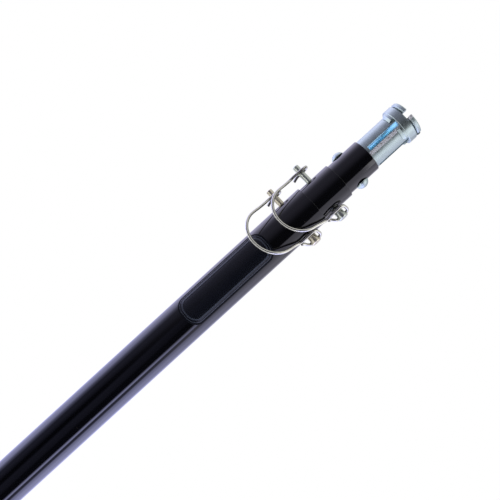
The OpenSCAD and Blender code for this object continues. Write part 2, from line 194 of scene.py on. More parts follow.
class PoleStudio(bpy.types.PropertyGroup):
    """The camera and the light around the pole."""

    lens: bpy.props.FloatProperty(
        name="Lens", description="Focal length on a 36 mm sensor", default=51.84, min=1.0,
        unit="CAMERA", subtype="DISTANCE_CAMERA",
    )
    distance: length_setting("Camera distance", "Distance from the camera to the pole's axis", 0.638)
    height: length_setting("Camera height", "Height of the camera above the butt face", 0.6375)
    side_step: length_setting("Camera side step", "How far the camera stands to the left of the axis", 0.0077)
    azimuth: bpy.props.FloatProperty(
        name="Camera azimuth", description="Turn of the camera about the pole, from the front",
        default=math.radians(12), unit="ROTATION", subtype="ANGLE",
    )
    roll: bpy.props.FloatProperty(
        name="Camera roll", description="Angle between the pole and the picture's lower edge",
        default=math.radians(42.4), unit="ROTATION", subtype="ANGLE",
    )
    brightness: bpy.props.FloatProperty(
        name="Surroundings", description="Strength of the studio around the pole", default=1.0, min=0.0,
    )
    floor_radius: length_setting("Floor radius", "Radius of the floor under the pole", 0.58)


SETTINGS = {"pole_sizes": PoleSizes, "pole_finishes": PoleFinishes, "pole_studio": PoleStudio}


# ---------------------------------------------------------------------------
# Modelling
# ---------------------------------------------------------------------------


def start_clean():
    """Leave edit mode and select nothing, since the frame's nodes come selected."""
    if bpy.context.object and bpy.context.object.mode != "OBJECT":
        bpy.ops.object.mode_set(mode="OBJECT")
    bpy.ops.object.select_all(action="DESELECT")


def choose(*pieces):
    """Select these pieces, the first of them active."""
    start_clean()
    for piece in pieces:
        piece.select_set(True)
    bpy.context.view_layer.objects.active = pieces[0]


def apply_place():
    """Apply the chosen piece's place, turn and scale to its mesh."""
    bpy.ops.object.transform_apply(location=True, rotation=True, scale=True)


def edit_all():
    """Enter edit mode with the whole mesh selected."""
    bpy.ops.object.mode_set(mode="EDIT")
    bpy.ops.mesh.select_all(action="SELECT")


def mend():
    """Join doubled points, turn the faces outwards and leave edit mode."""
    bpy.ops.mesh.select_all(action="SELECT")
    bpy.ops.mesh.remove_doubles(threshold=1e-6)
    bpy.ops.mesh.normals_make_consistent(inside=False)
    bpy.ops.object.mode_set(mode="OBJECT")


def side_of(tube):
    """A tube's outer radius."""
    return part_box(tube)[1].x


def plug_radius(tube):
    """The radius of a plug that fits in a tube."""
    sizes = bpy.context.scene.pole_sizes
    return side_of(tube) - sizes.tube_wall - sizes.fit_gap


def middle_of(node_name):
    """The centre of a frame node's box."""
    low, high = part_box(node_name)
    return (low + high) / 2


def turned(name, profile, sides=96, hollow=True):
    """A piece turned about Z from (radius, height) points. A hollow one's profile
    closes on itself; a solid one starts and ends with a flat face."""
    start_clean()
    radius, height = profile[0]
    bpy.ops.mesh.primitive_circle_add(
        vertices=sides, radius=radius, fill_type="NOTHING" if hollow else "NGON",
        location=(0, 0, height),
    )
    piece = bpy.context.object
    piece.name = name
    apply_place()
    edit_all()
    for new_radius, new_height in profile[1:] + (profile[:1] if hollow else []):
        bpy.ops.mesh.extrude_region_move(
            TRANSFORM_OT_translate={"value": (0, 0, new_height - height)}
        )
        scale = new_radius / radius
        bpy.ops.transform.resize(value=(scale, scale, 1), center_override=(0, 0, new_height))
        radius, height = new_radius, new_height
    mend()
    return piece


def modify(piece, kind, **settings):
    """Add one modifier with its settings and apply it."""
    choose(piece)
    modifier = piece.modifiers.new(kind.title(), kind)
    for key, value in settings.items():
        setattr(modifier, key, value)
    bpy.ops.object.modifier_apply(modifier=modifier.name)


def soften(piece, width, segments=2, angle=30, clamp=True):
    """Round the edges that are sharper than an angle."""
    modify(
        piece, "BEVEL", width=width, segments=segments, limit_method="ANGLE",
        angle_limit=math.radians(angle), use_clamp_overlap=clamp, harden_normals=False,
    )


def combine(piece, other, operation):
    """Unite another piece with this one, or take it out of it, and delete the other."""
    modify(piece, "BOOLEAN", operation=operation, solver="EXACT", object=other)
    choose(other)
    bpy.ops.object.delete()


def cut(piece, *cutters):
    """Take the cutters out of a piece and delete them."""
    if len(cutters) > 1:
        choose(*cutters)
        bpy.ops.object.join()
    combine(piece, cutters[0], "DIFFERENCE")


def drill(diameter, place, length, axis, sides=32):
    """A round cutter centred on a place, along X, Y or Z."""
    start_clean()
    turn = {"X": (0, math.pi / 2, 0), "Y": (math.pi / 2, 0, 0), "Z": (0, 0, 0)}[axis]
    bpy.ops.mesh.primitive_cylinder_add(
        vertices=sides, radius=diameter / 2, depth=length, location=place, rotation=turn
    )
    return bpy.context.object


def laid_along_x(piece, height):
    """Lay a piece that was turned about Z along X, at a height."""
    choose(piece)
    piece.rotation_euler = (0, math.pi / 2, 0)
    piece.location = (0, 0, height)
    apply_place()


def done(piece, body, nodes, material, smooth=30):
    """Settle a finished piece: its place in its mesh, its shading, finish and body."""
    choose(piece)
    apply_place()
    bpy.ops.object.shade_smooth_by_angle(angle=math.radians(smooth))
    modify(piece, "WEIGHTED_NORMAL", keep_sharp=True, weight=60)
    piece.data.materials.clear()
    piece.data.materials.append(material)
    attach(piece, body)
    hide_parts(*nodes)
    return piece


# ---------------------------------------------------------------------------
# Finishes
# ---------------------------------------------------------------------------


def add_node(tree, kind, inputs=None, **settings):
    """Add one node, with its settings, its values and its links."""
    made = tree.nodes.new(kind)
    for key, value in settings.items():
        setattr(made, key, value)
    for socket, value in (inputs or {}).items():
        if isinstance(value, bpy.types.NodeSocket):
            tree.links.new(value, made.inputs[socket])
        else:
            made.inputs[socket].default_value = value
    return made


def new_finish(name, **values):
    """A material with one Principled shader, and its tree, shader and object coordinates."""
    material = bpy.data.materials.new(name)
    material.use_nodes = True
    tree = material.node_tree
    shader = tree.nodes["Principled BSDF"]
    for socket, value in values.items():
        socket = socket.replace("_", " ")
        shader.inputs[socket].default_value = (*value, 1.0) if socket == "Base Color" else value
    place = add_node(tree, "ShaderNodeTexCoord").outputs["Object"]
    return material, tree, shader, place


def mapped(tree, value, low, high, to_low=0.0, to_high=1.0, curve="LINEAR"):
    """A value carried from one range to another, and kept inside it."""
    return add_node(
        tree, "ShaderNodeMapRange",
        {"Value": value, "From Min": low, "From Max": high, "To Min": to_low, "To Max": to_high},
        interpolation_type=curve,
    ).outputs["Result"]


def mixed(tree, factor, first, second):
    """The first colour where the factor is 0, and the second where it is 1."""
    first, second = (
        c if isinstance(c, bpy.types.NodeSocket) else (*c, 1.0) for c in (first, second)
    )
    return add_node(
        tree, "ShaderNodeMix", {0: factor, 6: first, 7: second}, data_type="RGBA"
    ).outputs[2]


def mixed_value(tree, factor, first, second):
    """The first value where the factor is 0, and the second where it is 1."""
    return add_node(
        tree, "ShaderNodeMix", {0: factor, 2: first, 3: second}, data_type="FLOAT"
    ).outputs[0]


def calculated(tree, operation, *values):
    """The result of one math operation."""
    return add_node(
        tree, "ShaderNodeMath", dict(enumerate(values)), operation=operation
    ).outputs["Value"]


def noise(tree, place, scale, detail, **values):
    """Cloudy noise, whose clouds are about one over the scale across, in metres."""
    return add_node(
        tree, "ShaderNodeTexNoise", {"Vector": place, "Scale": scale, "Detail": detail, **values}
    ).outputs["Fac"]


def stretched(tree, place, scale):
    """The object coordinates, scaled apart along each axis, for drawn or turned marks."""
    return add_node(tree, "ShaderNodeMapping", {"Vector": place, "Scale": scale}).outputs["Vector"]


def off_axis(tree, place):
    """The distance from the pole's axis."""
    flat = add_node(
        tree, "ShaderNodeVectorMath", {0: place, 1: (1.0, 1.0, 0.0)}, operation="MULTIPLY"
    ).outputs["Vector"]
    return add_node(tree, "ShaderNodeVectorMath", {0: flat}, operation="LENGTH").outputs["Value"]


def roughen(tree, shader, height, strength, depth):
    """Give a finish its fine relief."""
    bump = add_node(
        tree, "ShaderNodeBump", {"Height": height, "Strength": strength, "Distance": depth}
    )
    tree.links.new(bump.outputs["Normal"], shader.inputs["Normal"])


def enamel_finish(name, scuffed):
    """Black stoving enamel on steel tube: a hard gloss skin over a faint orange
    peel, with hairline rub marks where one tube slides in another."""
    finishes = bpy.context.scene.pole_finishes
    material, tree, shader, place = new_finish(
        name, Base_Color=tuple(finishes.enamel), Roughness=0.14, IOR=1.5
    )
    # Orange peel, about 1.6 mm from crest to crest
    peel = noise(tree, place, 620.0, 2.0, Roughness=0.4)
    # Hairlines drawn along the pole, about 0.4 mm apart and 60 mm long
    hairs = noise(tree, stretched(tree, place, (2400.0, 2400.0, 16.0)), 1.0, 2.0)
    rubbed = mapped(tree, hairs, 0.60, 0.72, 0.0, scuffed)
    # The gloss wanders over clouds about 22 mm across
    gloss = mapped(tree, noise(tree, place, 45.0, 3.0), 0.3, 0.7, 0.06, 0.09)
    tree.links.new(calculated(tree, "ADD", gloss, rubbed), shader.inputs["Roughness"])
    # Dust specks, a fraction of a millimetre wide and about a centimetre apart
    dust = add_node(tree, "ShaderNodeTexVoronoi", {"Vector": place, "Scale": 95.0, "Randomness": 1.0})
    speck = mapped(tree, dust.outputs["Distance"], 0.035, 0.02, 0.0, 0.5)
    tree.links.new(mixed(tree, speck, finishes.enamel, finishes.scuff), shader.inputs["Base Color"])
    roughen(tree, shader, peel, 0.05, 0.02 * MM)
    return material


def zinc_finish(name, colour, turned_marks=0.0, bore=None, seam=None, roughness=0.3):
    """Zinc plate on turned or formed steel: a satin metal with a cloudy, slightly
    uneven shine. The passivate gives it its blue or straw tint."""
    material, tree, shader, place = new_finish(
        name, Base_Color=tuple(colour), Metallic=1.0, Roughness=roughness
    )
    # Clouds about 6 mm across, over a grain of 0.7 mm
    cloud = noise(tree, place, 160.0, 4.0, Roughness=0.6)
    height = noise(tree, place, 1500.0, 2.0)
    shine = mapped(tree, cloud, 0.3, 0.7, roughness - 0.07, roughness + 0.09)
    shade = mapped(tree, cloud, 0.25, 0.75, 0.84, 1.08)
    tint = add_node(
        tree, "ShaderNodeVectorMath", {0: tuple(colour), "Scale": shade}, operation="SCALE"
    ).outputs["Vector"]
    if bore is not None:
        # The inner wall, within 13 mm of the axis, is glossier and painted a lighter
        # blue, a painted reflection of the blue light it takes; it fades out by 14.2 mm
        inside = mapped(tree, off_axis(tree, place), 14.2 * MM, 13.0 * MM)
        tint = mixed(tree, inside, tint, bore)
        shine = mixed_value(tree, inside, shine, 0.16)
    if seam is not None:
        # A pale, rough weld seam 4 mm wide runs up the socket beside the front
        # slot, mottled with brown oxide specks 1 to 2 mm across
        bare_steel = (0.62, 0.63, 0.63)
        axes = add_node(tree, "ShaderNodeSeparateXYZ", {"Vector": place})
        aside = calculated(tree, "ABSOLUTE", calculated(tree, "ADD", axes.outputs["X"], -4.3 * MM))
        front = calculated(tree, "LESS_THAN", axes.outputs["Y"], 0.0)
        weld = calculated(tree, "MULTIPLY", mapped(tree, aside, 2.0 * MM, 1.4 * MM), front)
        oxide = mapped(tree, noise(tree, place, 520.0, 3.0), 0.56, 0.70, 0.0, 0.8)
        shine = mixed_value(tree, weld, shine, 0.8)
        tint = mixed(tree, weld, tint, bare_steel)
        tint = mixed(tree, calculated(tree, "MULTIPLY", weld, oxide), tint, seam)
    tree.links.new(tint, shader.inputs["Base Color"])
    tree.links.new(shine, shader.inputs["Roughness"])
    if turned_marks:
        # Tool marks around the axis, 0.25 mm apart, drawn coarser than real ones
        rings = noise(tree, stretched(tree, place, (60.0, 60.0, 4000.0)), 1.0, 1.0)
        height = calculated(tree, "MULTIPLY_ADD", rings, turned_marks, height)
    roughen(tree, shader, height, 0.05, 0.02 * MM)
    return material


def moulded_finish(name, colour, roughness, grain_mm, depth, wear=0.06, sheen=0.5, matt_below=None):
    """Moulded plastic or rubber: the tool's spark-eroded texture gives a fine grain,
    and handling polishes it in patches."""
    material, tree, shader, place = new_finish(
        name, Base_Color=tuple(colour), Roughness=roughness, IOR=1.5, Specular_IOR_Level=sheen
    )
    grain = noise(tree, place, 1.0 / (grain_mm * MM), 2.0)
    # The polished patches are about 14 mm across
    patch = noise(tree, place, 70.0, 3.0)
    shine = mapped(tree, patch, 0.3, 0.7, roughness - wear, roughness + wear)
    if matt_below is not None:
        # The skirt, which lies closest to the pole's axis, keeps the tool's matt skin
        reach = off_axis(tree, place)
        skirt = calculated(tree, "LESS_THAN", reach, matt_below)
        shine = mixed_value(tree, skirt, shine, 0.7)
        dull = mapped(tree, skirt, 0.0, 1.0, sheen, 0.1)
        tree.links.new(dull, shader.inputs["Specular IOR Level"])
        # The tops of the raised border are painted a lighter grey, a painted highlight standing in for the
        # light lines the beads reflect
        rubbed = mapped(tree, reach, matt_below + 0.22 * MM, matt_below + 0.34 * MM, 0.0, 0.75)
        base = mixed(tree, rubbed, colour, bpy.context.scene.pole_finishes.painted_bead_highlight)
        tree.links.new(base, shader.inputs["Base Color"])
    tree.links.new(shine, shader.inputs["Roughness"])
    roughen(tree, shader, grain, 0.4, depth * MM)
    return material


def finish(name):
    """The named finish, made the first time that a piece asks for it."""
    if name in bpy.data.materials:
        return bpy.data.materials[name]
    c = bpy.context.scene.pole_finishes
    sizes = bpy.context.scene.pole_sizes
    # The nameplate is matt up to just above its skirt
    matt_below = sizes.plate_skirt + 0.06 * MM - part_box("nameplate")[0].y - sizes.plate_thick
    makers = {
        "Black stoving enamel": lambda n: enamel_finish(n, 0.02),
        "Black stoving enamel, rubbed": lambda n: enamel_finish(n, 0.06),
        "Blue-passivated zinc plate": lambda n: zinc_finish(n, c.blue_zinc, turned_marks=0.6, roughness=0.36),
        "Zinc-plated welded tube": lambda n: zinc_finish(
            n, c.blue_zinc, bore=c.painted_bore_reflection, seam=c.seam, roughness=0.4
        ),
        "Clear zinc plate": lambda n: zinc_finish(n, c.clear_zinc, roughness=0.3),
        "Pale yellow zinc plate": lambda n: zinc_finish(n, c.yellow_zinc, roughness=0.34),
        "Plated spring steel wire": lambda n: zinc_finish(n, c.wire, roughness=0.22),
        "Blue-black moulded acrylic": lambda n: moulded_finish(
            n, c.plate, 0.26, 1.5, 0.0002, wear=0.03, sheen=0.4, matt_below=matt_below
        ),
        "Moulded grip rubber": lambda n: moulded_finish(n, c.grip, 0.62, 0.35, 0.03),
        "Moulded polypropylene": lambda n: moulded_finish(n, c.cap, 0.45, 0.4, 0.02),
        "Moulded acetal": lambda n: moulded_finish(n, c.bush, 0.35, 0.5, 0.01),
        "Acrylic foam tape": lambda n: moulded_finish(n, c.tape, 0.8, 0.3, 0.03, 0.02),
        "Drawn aluminium": lambda n: zinc_finish(n, c.aluminium, roughness=0.36),
    }
    return makers[name](name)


# ---------------------------------------------------------------------------
# Pieces
# ---------------------------------------------------------------------------


def upright_tube(name, body, heights, drills, material):
    """One steel tube with rounded ends, from its node's box, with its drilled holes."""
    sizes = bpy.context.scene.pole_sizes
    low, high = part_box(name)
    radius = high.x
    bore = radius - sizes.tube_wall
    stations = sorted(z for z in heights if low.z + 0.002 < z < high.z - 0.002)
    profile = [(radius, low.z), *[(radius, z) for z in stations], (radius, high.z),
               (bore, high.z), *[(bore, z) for z in reversed(stations)], (bore, low.z)]
    tube = turned(name.replace("_", " ").title().replace(" ", "_"), profile, sides=128)
    soften(tube, sizes.tube_rim, segments=3, angle=60)
    cut(tube, *[drill(d, (0, 0, z), 4 * radius, axis) for d, z, axis in drills])
    done(tube, body, [name], material)


class POLE_OT_tubes(bpy.types.Operator):
    """Model the three nested steel tubes with their drilled holes."""

    bl_idname = "pole.tubes"
    bl_label = "Tubes"

    def execute(self, context):
        sizes = context.scene.pole_sizes
        lower = middle_of("lower_lock_pin").z
        upper = middle_of("upper_lock_pin").z
        rivet = middle_of("adapter_rivet").z
        step = sizes.position_step
        upright_tube(
            "outer_tube", "outer", [lower - 0.01, lower + 0.01],
            [(sizes.pin_bore, lower, "X")], finish("Black stoving enamel"),
        )
        places = [upper - i * step for i in range(sizes.position_count)]
        for name, body, own in (("middle_tube", "middle", upper), ("inner_tube", "inner", rivet)):
            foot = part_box(name)[0].z
            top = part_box(name)[1].z
            holes = [
                (sizes.position_bore, z, "X") for z in places
                if z > foot + 0.02 and not (name == "middle_tube" and z == upper)
            ]
            holes.append((sizes.pin_bore, own, "X"))
            holes.append((sizes.bush_rivet, foot + sizes.bush_rivet_rise, "Y"))
            heights = [z + step / 2 for z in places]
            heights += [places[-1] - step / 2, foot + 0.014, top - 0.008]
            upright_tube(name, body, heights, holes, finish("Black stoving enamel, rubbed"))
        return {"FINISHED"}


class POLE_OT_lock_pins(bpy.types.Operator):
    """Model the two lock pins: a chamfered shank and a flanged head with an eyelet."""

    bl_idname = "pole.lock_pins"
    bl_label = "Lock pins"

    def execute(self, context):
        s = context.scene.pole_sizes
        side = side_of("outer_tube")
        for name, body, slot, material in (
            ("lower_lock_pin", "lower_clip", "zinc_yellow", "Pale yellow zinc plate"),
            ("upper_lock_pin", "upper_clip", "zinc_plate", "Clear zinc plate"),
        ):
            low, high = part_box(name)
            neck = side + s.pin_head_gap
            flange = neck + s.pin_neck_length
            shank_r, neck_r, flange_r = s.pin_shank / 2, s.pin_neck / 2, high.z - middle_of(name).z
            pin = turned(
                name.title(),
                [
                    (shank_r - s.pin_chamfer, low.x), (shank_r, low.x + s.pin_chamfer),
                    (shank_r, neck), (neck_r, neck), (neck_r, flange),
                    (flange_r, flange), (flange_r, high.x - s.pin_chamfer),
                    (flange_r - s.pin_chamfer, high.x),
                ],
                sides=64, hollow=False,
            )
            soften(pin, 0.22 * MM, segments=2, angle=30)
            laid_along_x(pin, middle_of(name).z)
            cut(pin, drill(s.eyelet, (flange + s.eyelet_inset, 0, middle_of(name).z), 0.03, "Z"))
            done(pin, body, [name], finish(material))
        return {"FINISHED"}


def bail_at(x, along, off, tilt):
    """A point of the tilted bail: x across, along it from the pin, and off in front."""
    return Vector((x, -along * math.sin(tilt) - off * math.cos(tilt),
                   -along * math.cos(tilt) + off * math.sin(tilt)))


def wire_route(tilt, side):
    """The wire's centre line about its pin: through the head, down one leg, round
    the bail, up the other leg and round the pin's tip."""
    s = bpy.context.scene.pole_sizes
    wire_r = s.wire / 2
    bail_r = side + s.bail_room
    head_leg, tip_leg = bail_r - s.bail_shift, -bail_r - s.bail_shift
    arch = s.bail_reach - bail_r
    # These are in millimetres, like the points beside the pin that use them
    strand, front = (side + s.strand_out) / MM, -s.strand_front / MM
    eyelet = (side + s.pin_head_gap + s.pin_neck_length + s.eyelet_inset) / MM
    eye, eye_r = (-side - s.eye_out) / MM, (s.pin_shank / 2 + wire_r + s.eye_gap) / MM

    def leg_at(x, along, off):
        """A point of the first leg, which keeps clear of the outer tube's side."""
        p = bail_at(x, along, off, tilt)
        reach = side + wire_r + s.leg_gap
        return Vector((max(x, math.sqrt(reach * reach - p.y * p.y)), p.y, p.z))

    def mm(x, y, z):
        """A point given in millimetres."""
        return Vector((x, y, z)) * MM

    out, back = mm(eyelet, 0, 4.8), mm(strand, front, 3)
    route = [
        leg_at(head_leg + 1.9 * MM, 12 * MM, -2.2 * MM),
        leg_at(head_leg + 3 * MM, 10 * MM, -2.6 * MM),
        mm(eyelet - 1.3, -1.1, -7.5), mm(eyelet - 0.1, -0.1, -5.7),
        mm(eyelet, 0, -4.4), mm(eyelet, 0, 0), mm(eyelet, 0, 3),
    ]
    for i in range(0, 9, 2):
        a = math.pi * i / 8
        k = (1 - math.cos(a)) / 2
        route.append(out * (1 - k) + back * k + mm(0, 0, 3.1 * abs(math.sin(a)) ** 0.7))
    route += [
        mm(strand, front, -1), mm(strand, front, -5),
        leg_at(head_leg + 0.9 * MM, 14 * MM, 0.8 * MM),
        leg_at(head_leg + 0.2 * MM, 20 * MM, 0),
    ]
    for i in range(13):
        a = math.pi * i / 12
        route.append(bail_at(-s.bail_shift + bail_r * math.cos(a), arch + bail_r * math.sin(a), 0, tilt))
    route += [
        bail_at(tip_leg - 0.3 * MM, 20 * MM, 0, tilt), bail_at((eye + 0.4) * MM, 14 * MM, 0, tilt),
        mm(eye, -eye_r - 0.8, -6), mm(eye, -eye_r, -1.5),
    ]
    for i in range(0, 9, 2):
        a = math.pi * i / 8
        route.append(mm(eye, -eye_r * math.cos(a), 2.5 + eye_r * math.sin(a)))
    return route + [
        mm(eye, eye_r, -2), mm(eye + 0.4, eye_r + 0.5, -6), mm(eye + 1.4, eye_r + 1.4, -9.5),
    ]


class POLE_OT_wires(bpy.types.Operator):
    """Model the two spring wires that snap over the pole and hold the pins."""

    bl_idname = "pole.wires"
    bl_label = "Snap wires"

    def execute(self, context):
        s = context.scene.pole_sizes
        side = side_of("outer_tube")
        for name, pin, body, stand in (
            ("lower_lock_wire", "lower_lock_pin", "lower_clip", s.lower_stand),
            ("upper_lock_wire", "upper_lock_pin", "upper_clip", s.upper_stand),
        ):
            tilt = math.asin((side + s.wire / 2 + stand) / s.bail_reach)
            lift = Vector((0, 0, middle_of(pin).z))
            route = [p + lift for p in wire_route(tilt, side)]
            start_clean()
            bpy.ops.curve.primitive_bezier_curve_add(location=(0, 0, 0))
            wire = context.object
            wire.name = name.title()
            bpy.ops.object.mode_set(mode="EDIT")
            points = wire.data.splines[0].bezier_points
            for point, place in zip(points, route):
                point.co = place
            bpy.ops.curve.select_all(action="DESELECT")
            points[-1].select_control_point = True
            for place in route[2:]:
                bpy.ops.curve.vertex_add(location=place)
            bpy.ops.curve.select_all(action="SELECT")
            bpy.ops.curve.handle_type_set(type="AUTOMATIC")
            bpy.ops.object.mode_set(mode="OBJECT")
            wire.data.resolution_u = 7
            wire.data.bevel_depth = s.wire / 2
            wire.data.bevel_resolution = 5
            wire.data.use_fill_caps = True
            bpy.ops.object.convert(target="MESH")
            wire = context.object
            edit_all()
            mend()
            soften(wire, 0.3 * MM, segments=2, angle=60)
            done(wire, body, [name], finish("Plated spring steel wire"), smooth=50)
        return {"FINISHED"}


class POLE_OT_socket(bpy.types.Operator):
    """Model the slotted tool socket with its lip and four spring fingers."""

    bl_idname = "pole.socket"
    bl_label = "Tool socket"

    def execute(self, context):
        s = context.scene.pole_sizes
        low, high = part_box("adapter_sleeve")
        lip_r = high.x
        radius = plug_radius("inner_tube")
        raw = radius - s.sleeve_wall
        bore = raw + s.ream
        lip_z = high.z - s.lip
        sleeve = turned(
            "Adapter_Sleeve",
            [
                (radius, low.z), (radius, s.slot_foot - 3 * MM), (radius, lip_z),
                (lip_r - s.lip_rear, lip_z), (lip_r, lip_z + s.lip_rear),
                (lip_r, high.z - s.lip_front), (lip_r - s.lip_front, high.z),
                (bore + 0.5 * MM, high.z), (bore, high.z - 0.5 * MM),
                (bore, s.shoulder), (raw, s.shoulder), (raw, low.z),
            ],
            sides=128,
        )
        cutters = []
        for width, foot in ((s.slot, s.slot_foot), (s.notch, lip_z)):
            for turn in (0, math.pi / 2):
                start_clean()
                bpy.ops.mesh.primitive_cube_add(
                    size=1, location=(0, 0, (foot + high.z + 0.002) / 2), rotation=(0, 0, turn),
                    scale=(4 * lip_r, width, high.z + 0.002 - foot),
                )
                cutters.append(context.object)
        for cutter in cutters:
            cut(sleeve, cutter)
        cut(sleeve, drill(s.pin_bore, (0, 0, middle_of("adapter_rivet").z), 0.05, "X"))
        soften(sleeve, 0.22 * MM, segments=2, angle=35, clamp=False)
        done(sleeve, "inner", ["adapter_sleeve"], finish("Zinc-plated welded tube"))
        return {"FINISHED"}


class POLE_OT_collar(bpy.types.Operator):
    """Model the sliding collar that squeezes the socket's fingers."""

    bl_idname = "pole.collar"
    bl_label = "Lock collar"

    def execute(self, context):
        s = context.scene.pole_sizes
        low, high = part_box("lock_collar")
        rim = high.x
        band = high.z - s.collar_band
        bore = plug_radius("inner_tube") + s.collar_gap
        edge = 0.5 * MM
        collar = turned(
            "Lock_Collar",
            [
                (bore, band), (rim - edge, band), (rim, band + edge),
                (rim, high.z - edge), (rim - edge, high.z), (bore, high.z),
            ],
            sides=128,
        )
        # Four cast lugs behind the band, each a short turned sector with a
        # sloped end, melted into the band
        profile = [
            (bore, low.z), (bore + edge, low.z), (rim - edge, low.z + s.lug_slope),
            (rim - edge, band + edge), (bore, band + edge),
        ]
        for front in (-math.pi / 2, math.pi / 2):
            for side in (-1, 1):
                start = front + side * s.lug_turn + s.lug_span / 2
                start_clean()
                bpy.ops.mesh.primitive_circle_add(vertices=5, radius=1)
                lug = context.object
                for vertex, (radius, z) in zip(lug.data.vertices, profile):
                    vertex.co = (radius * math.cos(start), radius * math.sin(start), z)
                edit_all()
                bpy.ops.mesh.edge_face_add()
                bpy.ops.mesh.spin(
                    steps=14, angle=s.lug_span, center=(0, 0, 0), axis=(0, 0, 1), use_auto_merge=False
                )
                mend()
                soften(lug, 0.9 * MM, segments=4, angle=40)
                combine(collar, lug, "UNION")
        done(collar, "collar", ["lock_collar"], finish("Blue-passivated zinc plate"), smooth=35)
        return {"FINISHED"}


class POLE_OT_rivet(bpy.types.Operator):
    """Model the domed rivet that holds the socket in the inner tube."""

    bl_idname = "pole.rivet"
    bl_label = "Socket rivet"

    def execute(self, context):
        s = context.scene.pole_sizes
        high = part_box("adapter_rivet")[1]
        height = middle_of("adapter_rivet").z
        tube_r = side_of("inner_tube")
        head_r = s.rivet_head / 2
        seat = tube_r + s.bond_gap
        rise = high.x - seat
        ball = (head_r ** 2 + rise ** 2) / (2 * rise)
        widest = math.acos((ball - rise) / ball)
        parts = []
        for side in (1, -1):
            dome = []
            for i in range(14):
                a = widest * (1 - i / 14)
                dome.append((ball * math.sin(a), high.x - ball + ball * math.cos(a)))
            head = turned("Rivet_Head", dome, sides=64, hollow=False)
            laid_along_x(head, height)
            if side < 0:
                choose(head)
                head.rotation_euler = (0, 0, math.pi)
                apply_place()
            parts.append(head)
        # The shank runs 1 mm into each head
        reach = tube_r + 1 * MM
        shank = turned(
            "Rivet_Shank", [(s.rivet_shank / 2, z) for z in (-reach, 0.0, reach)],
            sides=48, hollow=False,
        )
        laid_along_x(shank, height)
        choose(*parts, shank)
        bpy.ops.object.join()
        rivet = context.object
        rivet.name = "Adapter_Rivet"
        soften(rivet, 0.15 * MM, segments=2, angle=50)
        done(rivet, "inner", ["adapter_rivet"], finish("Blue-passivated zinc plate"))
        return {"FINISHED"}


def tablet(name, across, along, corner, foot, top):
    """A flat tablet whose corners are a fifth longer across than along."""
    stretch = 1.2
    start_clean()
    bpy.ops.mesh.primitive_plane_add(size=1, location=(0, 0, foot), scale=(1, 1, 1))
    made = bpy.context.object
    made.name = name
    made.scale = (across / stretch, along, 1)
    apply_place()
    edit_all()
    bpy.ops.mesh.bevel(offset=corner, segments=16, affect="VERTICES")
    bpy.ops.mesh.select_all(action="SELECT")
    bpy.ops.transform.resize(value=(stretch, 1, 1), center_override=(0, 0, 0))
    bpy.ops.mesh.extrude_region_move(TRANSFORM_OT_translate={"value": (0, 0, top - foot)})
    mend()
    return made


class POLE_OT_nameplate(bpy.types.Operator):
    """Model the blank moulded nameplate with its double raised border."""

    bl_idname = "pole.nameplate"
    bl_label = "Nameplate"

    def execute(self, context):
        s = context.scene.pole_sizes
        low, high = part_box("nameplate")
        face_r = -low.y
        length = high.z - low.z
        top = 0.58 * MM
        # A low skirt, a thin bead, a groove, a frame and the sunken field
        plate = tablet("Nameplate", s.plate_chord, length, s.plate_corner, 0, s.plate_skirt)
        for inset, corner, foot, adds in (
            (1.6, 0.92, 0.05, True), (2.1, 0.9, 0.3, False),
            (3.3, 0.82, 0.05, True), (4.5, 0.75, 0.27, False),
        ):
            inset, foot = inset * MM, foot * MM
            step = tablet(
                "Border_Step", s.plate_chord - 2 * inset, length - 2 * inset, s.plate_corner * corner,
                foot, top if adds else 2 * top,
            )
            combine(plate, step, "UNION" if adds else "DIFFERENCE")
        soften(plate, 0.13 * MM, segments=2, angle=30)
        # Cuts along the plate, 0.8 mm apart, let it follow the tube
        choose(plate)
        bpy.ops.object.mode_set(mode="EDIT")
        strips = 36
        for i in range(1, strips):
            bpy.ops.mesh.select_all(action="SELECT")
            bpy.ops.mesh.bisect(
                plane_co=(s.plate_chord * (i / strips - 0.5), 0, 0), plane_no=(1, 0, 0)
            )
        bpy.ops.object.mode_set(mode="OBJECT")
        middle_r = face_r - s.plate_thick / 2
        back_r = face_r - s.plate_thick
        centre = (low.z + high.z) / 2
        for vertex in plate.data.vertices:
            x, y, rise = vertex.co
            angle = math.asin(x / middle_r)
            radius = back_r + rise
            vertex.co = (radius * math.sin(angle), -radius * math.cos(angle), centre + y)
        done(plate, "outer", ["nameplate"], finish("Blue-black moulded acrylic"), smooth=40)
        return {"FINISHED"}


class POLE_OT_grip(bpy.types.Operator):
    """Model the ribbed rubber grip at the handle end."""

    bl_idname = "pole.grip"
    bl_label = "Hand grip"

    def execute(self, context):
        s = context.scene.pole_sizes
        low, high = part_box("hand_grip")
        side = side_of("outer_tube") + s.bond_gap
        rim = high.x
        step = (high.z - low.z) / (s.grip_grooves + 1)
        half = step / 6
        shoulder, crest = 2 * MM, 0.6 * MM
        profile = [
            (side, low.z), (rim - shoulder, low.z), (rim - crest, low.z + crest),
            (rim, low.z + shoulder),
        ]
        for i in range(1, s.grip_grooves + 1):
            z = low.z + i * step
            profile += [
                (rim, z - half - 0.3 * MM), (rim - s.groove_depth, z - half + 0.3 * MM),
                (rim - s.groove_depth, z + half - 0.3 * MM), (rim, z + half + 0.3 * MM),
            ]
        profile += [
            (rim, high.z - shoulder), (rim - crest, high.z - crest),
            (rim - shoulder, high.z), (side, high.z),
        ]
        grip = turned("Hand_Grip", profile, sides=96)
        soften(grip, 0.5 * MM, segments=3, angle=25)
        done(grip, "outer", ["hand_grip"], finish("Moulded grip rubber"))
        return {"FINISHED"}


